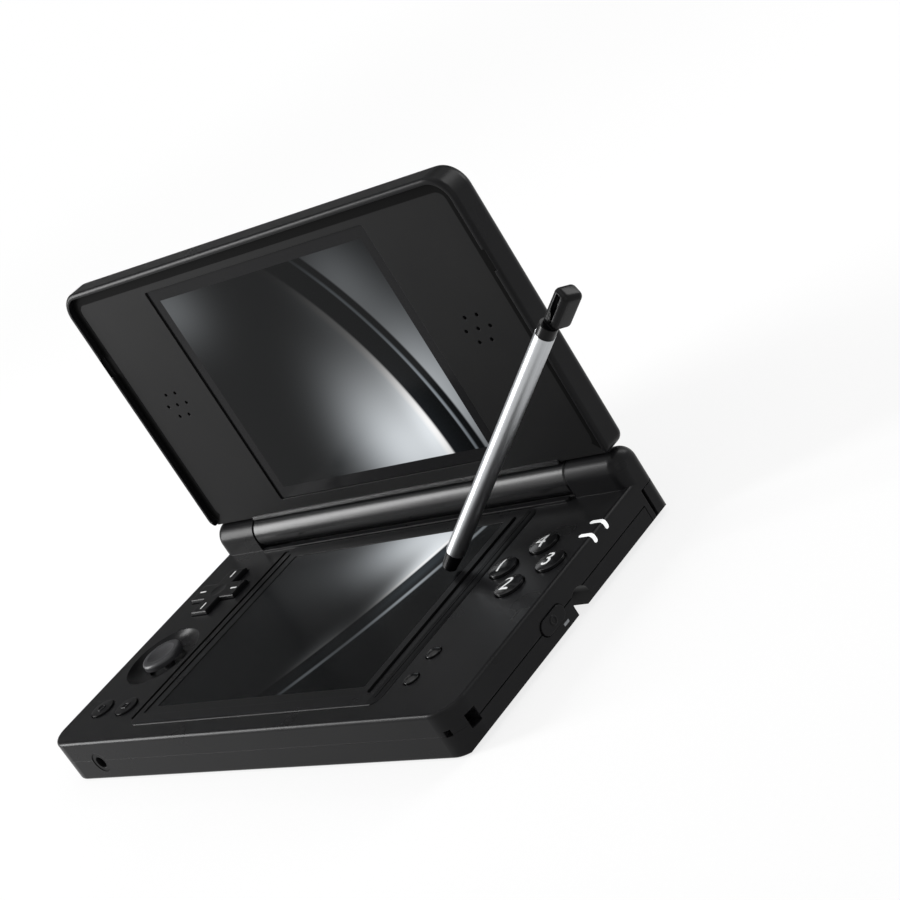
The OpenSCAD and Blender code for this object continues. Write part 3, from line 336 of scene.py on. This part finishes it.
def displayGlass(name, look):
    material = newMaterial(name)
    coords = addNode(material, "ShaderNodeTexCoord").outputs["Object"]
    flat = addNode(material, "ShaderNodeMapping",
                   {"vector_type": "TEXTURE", "Location": inMm(look["centre"]),
                    "Rotation": [math.radians(v) for v in look["turn"]],
                    "Scale": (mm, mm, mm)}, {"Vector": coords}).outputs[0]
    axes = addNode(material, "ShaderNodeSeparateXYZ", links={"Vector": flat}).outputs[:2]

    def squares(spot, reach):
        # squared distance from a spot, in units of its reach each way
        parts = []
        for axis, at, size in zip(axes, spot, reach):
            gap = addNode(material, "ShaderNodeMath", {"operation": "ADD", 1: -at}, {0: axis})
            part = addNode(material, "ShaderNodeMath", {"operation": "MULTIPLY", 1: 1 / size},
                           {0: gap.outputs[0]}).outputs[0]
            parts.append(addNode(material, "ShaderNodeMath", {"operation": "MULTIPLY"},
                                 {0: part, 1: part}).outputs[0])
        return addNode(material, "ShaderNodeMath", {"operation": "ADD"},
                       {0: parts[0], 1: parts[1]}).outputs[0]

    # bands of colour, by the distance from the arc
    distance = addNode(material, "ShaderNodeMath", {"operation": "SQRT"},
                       {0: squares(look["arcAt"], (1, 1))})
    fromArc = addNode(material, "ShaderNodeMath", {"operation": "ADD", 1: -look["arcRadius"]},
                      {0: distance.outputs[0]})
    onRamp = addNode(material, "ShaderNodeMath", {"operation": "MULTIPLY_ADD", 1: 1 / rampSpan,
                                                  2: 0.5}, {0: fromArc.outputs[0]})
    bands = addNode(material, "ShaderNodeValToRGB", links={"Fac": onRamp.outputs[0]})
    stops = bands.color_ramp.elements
    while len(stops) < len(look["bands"]):
        stops.new(0.5)
    for stop, (place, colour) in zip(stops, look["bands"]):
        stop.position = 0.5 + place / rampSpan
        stop.color = linear(colour)

    # glows, each falling off round its spot
    light = addNode(material, "ShaderNodeValue").outputs[0]
    light.default_value = look["dimmest"]
    for spot, reach, strength in look["glows"]:
        falling = addNode(material, "ShaderNodeMath", {"operation": "MULTIPLY", 1: -1.0},
                          {0: squares(spot, reach)})
        glow = addNode(material, "ShaderNodeMath", {"operation": "EXPONENT"},
                       {0: falling.outputs[0]})
        light = addNode(material, "ShaderNodeMath", {"operation": "MULTIPLY_ADD", 1: strength},
                        {0: glow.outputs[0], 2: light}).outputs[0]

    # the picture ends at the lit panel's edge, and its rows of cells dip a little
    within = [addNode(material, "ShaderNodeMath", {"operation": "COMPARE", 1: 0.0, 2: half},
                      {0: axis}).outputs[0] for axis, half in zip(axes, look["half"])]
    inside = addNode(material, "ShaderNodeMath", {"operation": "MULTIPLY"},
                     {0: within[0], 1: within[1]}).outputs[0]
    cells = addNode(material, "ShaderNodeTexWave", {"wave_type": "BANDS",
                                                    "Scale": panelCells["bandScale"]},
                    {"Vector": flat})
    rows = addNode(material, "ShaderNodeMapRange", {"To Min": 1 - panelCells["dip"]},
                   {"Value": cells.outputs[1]})
    lit = addNode(material, "ShaderNodeMath", {"operation": "MULTIPLY"}, {0: light, 1: inside})
    level = addNode(material, "ShaderNodeMath", {"operation": "MULTIPLY"},
                    {0: lit.outputs[0], 1: rows.outputs[0]})
    picture = addNode(material, "ShaderNodeMix", {"data_type": "RGBA", 6: (0, 0, 0, 1)},
                      {0: level.outputs[0], 7: bands.outputs[0]})
    # outside the lit panel the glass takes a border tint; on the upper window this tint is lighter
    # than the glass's own black, a painted sheen of reflected light
    ink = addNode(material, "ShaderNodeMix", {"data_type": "RGBA", 6: linear(look["borderTintAndSheen"]),
                                              7: linear(look["panel"])}, {0: inside})
    shader = addNode(material, "ShaderNodeBsdfPrincipled",
                     {"Roughness": look["rough"], "IOR": 1.5, "Specular IOR Level": look["sheen"],
                      "Emission Strength": look["power"]},
                     {"Base Color": ink.outputs[2], "Emission Color": picture.outputs[2]})
    return finishMaterial(material, shader)


# bands: distance from the arc in mm, and the colour there; glows: spot, reach and strength
upperLook = {"centre": (0, 40.2, 60.7), "turn": (89, 0, 0), "half": (41.55, 31.15),
             "arcAt": (-75.6, -37.2), "arcRadius": 104.3,
             "bands": [(-30, "#e2e8ed"), (-3.2, "#e6ebef"), (-1.6, "#ffffff"), (-0.4, "#ffffff"),
                       (0.4, "#16191c"), (7.7, "#0b0d0e"), (8.1, "#b3bcc4"), (8.6, "#a7b0b8"),
                       (9.2, "#101315"), (11.2, "#0d0f11"), (11.8, "#dfe5ea"), (30, "#d3dae0")],
             "glows": [((15, -28), (17, 16), 0.72), ((10, -12), (14, 16), 0.12),
                       ((-42, 28), (14, 11), 0.12), ((37, -12), (16, 18), 0.42),
                       ((26, -22), (5, 15), 0.35), ((26, 21), (12, 13), 0.1)],
             "dimmest": 0.003, "power": 1.0, "rough": 0.12, "sheen": 0.06,
             "borderTintAndSheen": "#1d1d1e", "panel": "#08090a"}
lowerLook = {"centre": (0, -1.8, 12.75), "turn": (0, 0, 0), "half": (41.55, 31.15),
             "arcAt": (-210.6, 98.0), "arcRadius": 254.6,
             "bands": [(-30, "#e2e8ed"), (-9.8, "#e6ebef"), (-9.1, "#ffffff"), (-8.3, "#f7f9fb"),
                       (-7.6, "#262b2f"), (-4.5, "#30363b"), (-1.3, "#14171a"), (-0.5, "#c4ccd3"),
                       (0.3, "#c4ccd3"), (1.0, "#14171a"), (30, "#0d0f11")],
             "glows": [((16, 30), (18, 12), 0.72), ((24, 15), (6, 13), 0.7),
                       ((24, -8), (6, 24), 0.12), ((13, -23), (6, 12), 0.12),
                       ((-5, 25), (30, 16), 0.04)],
             "dimmest": 0.003, "power": 1.0, "rough": 0.26, "sheen": 0.04,
             "borderTintAndSheen": "#101011", "panel": "#08090a"}
paint(displayGlass("upperDisplayGlass", upperLook), "upper_window")
paint(displayGlass("lowerDisplayGlass", lowerLook), "touch_panel")
print("display glass made")


# pad-printed white ink: a flat, opaque film, slightly uneven
def printedInk(name, look):
    material = newMaterial(name)
    coords = addNode(material, "ShaderNodeTexCoord").outputs["Object"]
    film = addNode(material, "ShaderNodeTexNoise", {"Scale": 1 / (look["grainMm"] * mm),
                                                    "Detail": 3.0}, {"Vector": coords})
    tint = addNode(material, "ShaderNodeMix", {"data_type": "RGBA", 6: linear(look["dark"]),
                                               7: linear(look["light"])}, {0: film.outputs[0]})
    bump = addNode(material, "ShaderNodeBump", {"Strength": 0.15, "Distance": 0.01 * mm},
                   {"Height": film.outputs[0]})
    shader = addNode(material, "ShaderNodeBsdfPrincipled", {"Roughness": 0.45},
                     {"Base Color": tint.outputs[2], "Normal": bump.outputs[0]})
    return finishMaterial(material, shader)


whiteInk = printedInk("whitePadPrint", {"dark": "#dfe0e0", "light": "#f2f3f3", "grainMm": 0.15})
sameSpot = 1e-7  # m; corners closer than this are one corner


def layOnto(piece, carrier, body, settings):
    # trims an upright mark to a thin skin on the carrier's own surface
    deselectAll()
    skin = nodes[carrier].copy()
    skin.data = nodes[carrier].data.copy()
    skin.parent = None
    skin.matrix_world = Matrix.Translation(inMm((0, 0, settings["rise"])))
    bpy.context.collection.objects.link(skin)
    bpy.context.view_layer.objects.active = skin
    skin.select_set(True)
    bpy.ops.object.mode_set(mode="EDIT")
    bpy.ops.mesh.select_all(action="SELECT")
    bpy.ops.mesh.remove_doubles(threshold=sameSpot)
    bpy.ops.object.mode_set(mode="OBJECT")
    combine(piece, skin, "INTERSECT")
    piece.data.materials.clear()
    piece.data.materials.append(whiteInk)
    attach(piece, body)
    print(piece.name, len(piece.data.polygons), "faces")


# plain numerals on the four face buttons
buttonNumerals = {"height": 4.6, "heightShare": 0.7, "deep": 0.5, "rise": 0.03,
                  "marks": {"1": ("button_left", "face_button_left"),
                            "2": ("button_bottom", "face_button_bottom"),
                            "3": ("button_right", "face_button_right"),
                            "4": ("button_top", "face_button_top")}}


def addNumeral(mark, body, carrier, settings):
    low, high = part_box(carrier)
    deselectAll()
    bpy.ops.object.text_add()
    piece = bpy.context.object
    piece.name = "numeral" + mark
    piece.data.body = mark
    piece.data.size = settings["height"] * mm / settings["heightShare"]
    piece.data.extrude = settings["deep"] * mm
    piece.data.resolution_u = 4
    bpy.ops.object.convert(target="MESH")
    bpy.ops.object.mode_set(mode="EDIT")
    bpy.ops.mesh.select_all(action="SELECT")
    bpy.ops.mesh.remove_doubles(threshold=sameSpot)
    bpy.ops.mesh.normals_make_consistent(inside=False)
    bpy.ops.object.mode_set(mode="OBJECT")
    spans = [[v.co[i] for v in piece.data.vertices] for i in (0, 1)]
    x, y = [(low[i] + high[i] - min(span) - max(span)) / 2 for i, span in enumerate(spans)]
    piece.location = (x, y, high[2])
    bpy.ops.object.transform_apply(location=True, rotation=False, scale=False)
    layOnto(piece, carrier, body, settings)


for mark, (body, carrier) in buttonNumerals["marks"].items():
    addNumeral(mark, body, carrier, buttonNumerals)


# a short white line along each arm of the direction pad
padLines = {"size": (2.7, 0.55, 3), "from": 7.0, "corner": 0.2, "rise": 0.03,
            "rounded": "padLineRight",  # this one is rounded along its top as well
            "body": "direction_pad", "carrier": "dpad",
            "turns": {"padLineRight": 0, "padLineUp": 90, "padLineLeft": 180, "padLineDown": 270}}


def addPadLine(name, turn, settings):
    low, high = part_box(settings["carrier"])
    piece = addBlock(name, inMm(settings["size"]), inMm((settings["from"], 0, 0)))
    upright = None if name == settings["rounded"] else lambda a, b: abs(a.z - b.z) > mm
    bevelEdges(piece, settings["corner"] * mm, 4, upright)
    piece.rotation_euler = (0, 0, math.radians(turn))
    piece.location = ((low[0] + high[0]) / 2, (low[1] + high[1]) / 2, high[2])
    bpy.ops.object.transform_apply(location=True, rotation=True, scale=False)
    layOnto(piece, settings["carrier"], settings["body"], settings)


for name, turn in padLines["turns"].items():
    addPadLine(name, turn, padLines)
print("printed marks laid on")


# lip along the lid's lower edge, a rounded bead that catches a line of light
lidBead = {"from": (-61.4, 38.6, 21.9), "to": (61.4, 38.6, 21.9), "radius": 0.6,
           "round": 0.7, "sink": 0.3}


def addLidBead(settings):
    start, end = inMm(settings["from"]), inMm(settings["to"])
    radius = settings["radius"] * mm
    deselectAll()
    bpy.ops.mesh.primitive_cylinder_add(vertices=24, radius=radius, depth=(end - start).length,
                                        location=(start + end) / 2, rotation=(0, math.pi / 2, 0))
    bead = bpy.context.object
    bead.name = "lidBead"
    bpy.ops.object.transform_apply(location=True, rotation=True, scale=False)
    bevelEdges(bead, radius * settings["round"], 4)  # wider than a facet, so the mesh folds
    bpy.ops.object.mode_set(mode="EDIT")
    bpy.ops.mesh.select_all(action="SELECT")
    bpy.ops.mesh.bisect(plane_co=start + inMm((0, settings["sink"], 0)), plane_no=(0, 1, 0),
                        use_fill=True, clear_outer=True)
    bpy.ops.object.mode_set(mode="OBJECT")
    bpy.ops.object.shade_smooth_by_angle(angle=math.radians(40))
    bead.data.materials.append(plastics["glossBlackAbs"])
    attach(bead, "lid")


addLidBead(lidBead)


# stylus head, drawn standing on the tip like the tube: a block with a slot down its narrow side,
# set to one side of a round collar that enters the tube
stylusHead = {"top": 92, "tall": 10.4, "wide": (-0.75, 5.1), "half": 2.35, "roll": 59,
              "corner": 1.5, "edge": 0.3,
              "collarRadius": 2.35, "collar": (79.25, 82.2),
              "slotDeep": 1.0, "slotWide": 1.7, "slot": (83.4, 91.0)}


def addStylusHead(settings):
    top, bottom = settings["top"] * mm, (settings["top"] - settings["tall"]) * mm
    half = settings["half"] * mm
    left, right = (v * mm for v in settings["wide"])
    head = addBlock("stylusHead", (right - left, 2 * half, top - bottom),
                    ((left + right) / 2, 0, (top + bottom) / 2))

    def onFlank(a, b):
        return abs(a.y - b.y) < sameSpot and abs(abs(a.y) - half) < sameSpot

    bevelEdges(head, settings["corner"] * mm, 8)
    bevelEdges(head, settings["edge"] * mm, 3, onFlank)
    low, high = (v * mm for v in settings["collar"])
    deselectAll()
    bpy.ops.mesh.primitive_cylinder_add(vertices=48, radius=settings["collarRadius"] * mm,
                                        depth=high - low, location=(0, 0, (low + high) / 2))
    combine(head, bpy.context.object, "UNION")
    low, high = (v * mm for v in settings["slot"])
    slotSize = (2 * settings["slotDeep"] * mm, settings["slotWide"] * mm, high - low)
    combine(head, addBlock("slotCutter", slotSize, (left, 0, (low + high) / 2)), "DIFFERENCE")
    deselectAll()
    bpy.context.view_layer.objects.active = head
    head.select_set(True)
    bpy.ops.object.shade_smooth_by_angle(angle=math.radians(35))
    turn, tilt = (math.radians(stylusPose[k]) for k in ("turn", "tilt"))
    head.matrix_world = (Matrix.Translation(inMm(stylusPose["tip"]))
                         @ Matrix.Rotation(turn, 4, "Z") @ Matrix.Rotation(tilt, 4, "Y")
                         @ Matrix.Rotation(math.radians(settings["roll"]), 4, "Z"))
    bpy.ops.object.transform_apply(location=True, rotation=True, scale=True)
    head.data.materials.clear()
    head.data.materials.append(plastics["deepBlackAbs"])
    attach(head, "stylus")
    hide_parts("stylus_head")


addStylusHead(stylusHead)


# dark strips beside the lower display: painted shade lines where the gaps and steps round the
# frame fall into shadow, laid on as thin flat strips
shadeLineStrips = {
    "outerShadeLine": {"at": (-48.68, -2.3, 12.6), "size": (0.9, 70, 0.07)},
    "innerShadeLine": {"at": (-45.1, -2.3, 12.9), "size": (0.4, 66, 0.03)},
    "farOuterShadeLine": {"at": (48.6, -2.3, 12.6), "size": (0.8, 70, 0.07)},
    "farInnerShadeLine": {"at": (45.0, -2.3, 12.9), "size": (0.7, 66, 0.03)},
}


def addShadeLine(name, settings):
    wide, long, thick = inMm(settings["size"])
    shadeLine = addBlock(name, (wide, long, 2 * thick), inMm(settings["at"]))
    bevelEdges(shadeLine, wide * 0.45, 3)  # deeper than the strip, so the mesh folds
    shadeLine.data.materials.append(plastics["paintedShadeRubber"])
    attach(shadeLine, "base")


for name, settings in shadeLineStrips.items():
    addShadeLine(name, settings)


# a thin dark band laid round three sides of the lid's inner face, just inside its rim: painted
# shade where the rim shades the face
lidShadeBand = {"centre": (0, 39.28, 60.9), "turn": 89, "half": (77.9, 39.2), "corner": 5.3,
             "wide": 2.7, "thick": 0.05}


def addLidShadeBand(settings):
    halfX, halfY = (v * mm for v in settings["half"])
    deselectAll()
    bpy.ops.mesh.primitive_plane_add(size=2)
    shadeBand = bpy.context.object
    shadeBand.name = "lidShadeBand"
    shadeBand.scale = (halfX, halfY, 1)
    bpy.ops.object.transform_apply(location=False, rotation=False, scale=True)
    for vertex in shadeBand.data.vertices:
        vertex.select = vertex.co.y > 0
    bpy.ops.object.mode_set(mode="EDIT")
    bpy.ops.mesh.select_mode(type="VERT")
    bpy.ops.mesh.bevel(offset=settings["corner"] * mm, segments=8, affect="VERTICES")
    bpy.ops.mesh.select_all(action="SELECT")
    bpy.ops.mesh.inset(thickness=settings["wide"] * mm)
    bpy.ops.mesh.delete(type="FACE")
    bpy.ops.object.mode_set(mode="OBJECT")
    for face in shadeBand.data.polygons:
        face.select = face.center.y < -halfY + settings["wide"] * mm
    bpy.ops.object.mode_set(mode="EDIT")
    bpy.ops.mesh.select_mode(type="FACE")
    bpy.ops.mesh.delete(type="FACE")
    bpy.ops.object.mode_set(mode="OBJECT")
    wall = shadeBand.modifiers.new("wall", "SOLIDIFY")
    wall.thickness = settings["thick"] * mm
    wall.offset = 1
    bpy.ops.object.modifier_apply(modifier=wall.name)
    shadeBand.rotation_euler = (math.radians(settings["turn"]), 0, 0)
    shadeBand.location = inMm(settings["centre"])
    bpy.ops.object.transform_apply(location=True, rotation=True, scale=False)
    shadeBand.data.materials.append(plastics["paintedShadeRubber"])
    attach(shadeBand, "lid")


addLidShadeBand(lidShadeBand)
# the dark strips built here are painted shade, laid where gaps and the lid's rim cast shade
print("bead, shadeLines and gasket built")


# studio: pale paper floor and surround, lamps that reach every side
def addFloor(settings):
    deselectAll()
    bpy.ops.mesh.primitive_plane_add(size=settings["size"], location=(0, 0, settings["height"]))
    floor = bpy.context.object
    floor.name = "studioFloor"
    material = newMaterial("paleStudioPaper")
    coords = addNode(material, "ShaderNodeTexCoord").outputs["Object"]
    fibre = addNode(material, "ShaderNodeTexNoise", {"Scale": 800.0}, {"Vector": coords})
    tint = addNode(material, "ShaderNodeMix", {"data_type": "RGBA", 6: linear("#f4f4f4"),
                                               7: linear("#fbfbfb")}, {0: fibre.outputs[0]})
    paper = addNode(material, "ShaderNodeBsdfDiffuse", links={"Color": tint.outputs[2]})
    glow = addNode(material, "ShaderNodeEmission", {"Color": (1, 1, 1, 1), "Strength": 1.0})
    ray = addNode(material, "ShaderNodeLightPath")
    reach = addNode(material, "ShaderNodeVectorMath", {"operation": "LENGTH"}, {0: coords})
    lift = addNode(material, "ShaderNodeMapRange",
                   {"interpolation_type": "SMOOTHSTEP", "From Min": settings["nearM"],
                    "From Max": settings["farM"], "To Min": settings["lift"], "To Max": 1.0},
                   {"Value": reach.outputs["Value"]})
    shown = addNode(material, "ShaderNodeMath", {"operation": "MAXIMUM"},
                    {0: ray.outputs["Is Camera Ray"], 1: ray.outputs["Is Glossy Ray"]})
    clear = addNode(material, "ShaderNodeMath", {"operation": "MAXIMUM"},
                    {0: shown.outputs[0], 1: ray.outputs["Is Transmission Ray"]})
    seen = addNode(material, "ShaderNodeMath", {"operation": "MULTIPLY"},
                   {0: clear.outputs[0], 1: lift.outputs[0]})
    both = addNode(material, "ShaderNodeMixShader",
                   links={0: seen.outputs[0], 1: paper.outputs[0], 2: glow.outputs[0]})
    finishMaterial(material, both)
    floor.data.materials.append(material)


def addLamp(name, settings):
    deselectAll()
    bpy.ops.object.light_add(type="AREA", location=inMm(settings["place"]))
    lamp = bpy.context.object
    lamp.name = name
    lamp.data.shape = "RECTANGLE"
    lamp.data.size = settings["size"][0]
    lamp.data.size_y = settings["size"][1]
    lamp.data.energy = settings["power"]
    aim = inMm(settings["aim"]) - lamp.location
    lamp.rotation_euler = aim.to_track_quat("-Z", "Y").to_euler()


def addWorld(settings):
    # white where it is seen, mirrored or looked at through glass; a plain level of light elsewhere
    world = bpy.data.worlds.new("studioSurround")
    bpy.context.scene.world = world
    world.use_nodes = True
    world.node_tree.nodes.clear()
    ray = addNode(world, "ShaderNodeLightPath")
    shown = addNode(world, "ShaderNodeMath", {"operation": "MAXIMUM"},
                    {0: ray.outputs["Is Camera Ray"], 1: ray.outputs["Is Glossy Ray"]})
    clear = addNode(world, "ShaderNodeMath", {"operation": "MAXIMUM"},
                    {0: shown.outputs[0], 1: ray.outputs["Is Transmission Ray"]})
    soft = addNode(world, "ShaderNodeBackground", {"Color": (1, 1, 1, 1),
                                                   "Strength": settings["light"]})
    seen = addNode(world, "ShaderNodeBackground", {"Color": (1, 1, 1, 1), "Strength": 1.0})
    both = addNode(world, "ShaderNodeMixShader",
                   links={0: clear.outputs[0], 1: soft.outputs[0], 2: seen.outputs[0]})
    addNode(world, "ShaderNodeOutputWorld", links={"Surface": both.outputs[0]})


def addFlag(name, settings):
    # grey cloth on a frame, as set round a black product; only mirrored rays meet it
    deselectAll()
    bpy.ops.mesh.primitive_plane_add(size=1)
    flag = bpy.context.object
    flag.name = name
    flag.scale = (settings["size"][0], settings["size"][1], 1)
    bpy.ops.object.transform_apply(location=False, rotation=False, scale=True)
    place = inMm(settings["place"])
    flag.rotation_euler = (-place).to_track_quat("Z", "Y").to_euler()
    flag.location = place
    bpy.ops.object.transform_apply(location=True, rotation=True, scale=False)
    material = newMaterial("greyFlagCloth")
    coords = addNode(material, "ShaderNodeTexCoord").outputs["Object"]
    nap = addNode(material, "ShaderNodeTexNoise", {"Scale": 300.0}, {"Vector": coords})
    tint = addNode(material, "ShaderNodeMix", {"data_type": "RGBA", 6: linear("#6a6a6a"),
                                               7: linear("#747474")}, {0: nap.outputs[0]})
    cloth = addNode(material, "ShaderNodeBsdfDiffuse", links={"Color": tint.outputs[2]})
    flag.data.materials.append(finishMaterial(material, cloth))
    flag.visible_camera = False
    flag.visible_diffuse = False
    flag.visible_shadow = False


lamps = {
    "leftSoftbox": {"place": (-660, -330, 340), "aim": (0, 0, 30), "size": (0.2, 0.62),
                    "power": 7.6},
    "overheadSoftbox": {"place": (60, -60, 900), "aim": (0, 0, 20), "size": (0.6, 0.6),
                        "power": 1.0},
    "rightFill": {"place": (650, -350, 300), "aim": (0, 0, 30), "size": (0.6, 0.6), "power": 0.6},
    "rearSoftbox": {"place": (380, 640, 420), "aim": (0, 0, 40), "size": (0.3, 0.6), "power": 3},
}
addFloor({"size": 8, "height": -0.0002, "lift": 0.8, "nearM": 0.25, "farM": 0.9})
addWorld({"light": 0.4})
addFlag("rearFlag", {"place": (-520, 400, 330), "size": (1.3, 0.7)})
for name, settings in lamps.items():
    addLamp(name, settings)
bpy.context.scene.view_settings.view_transform = "Standard"
print("studio lit")
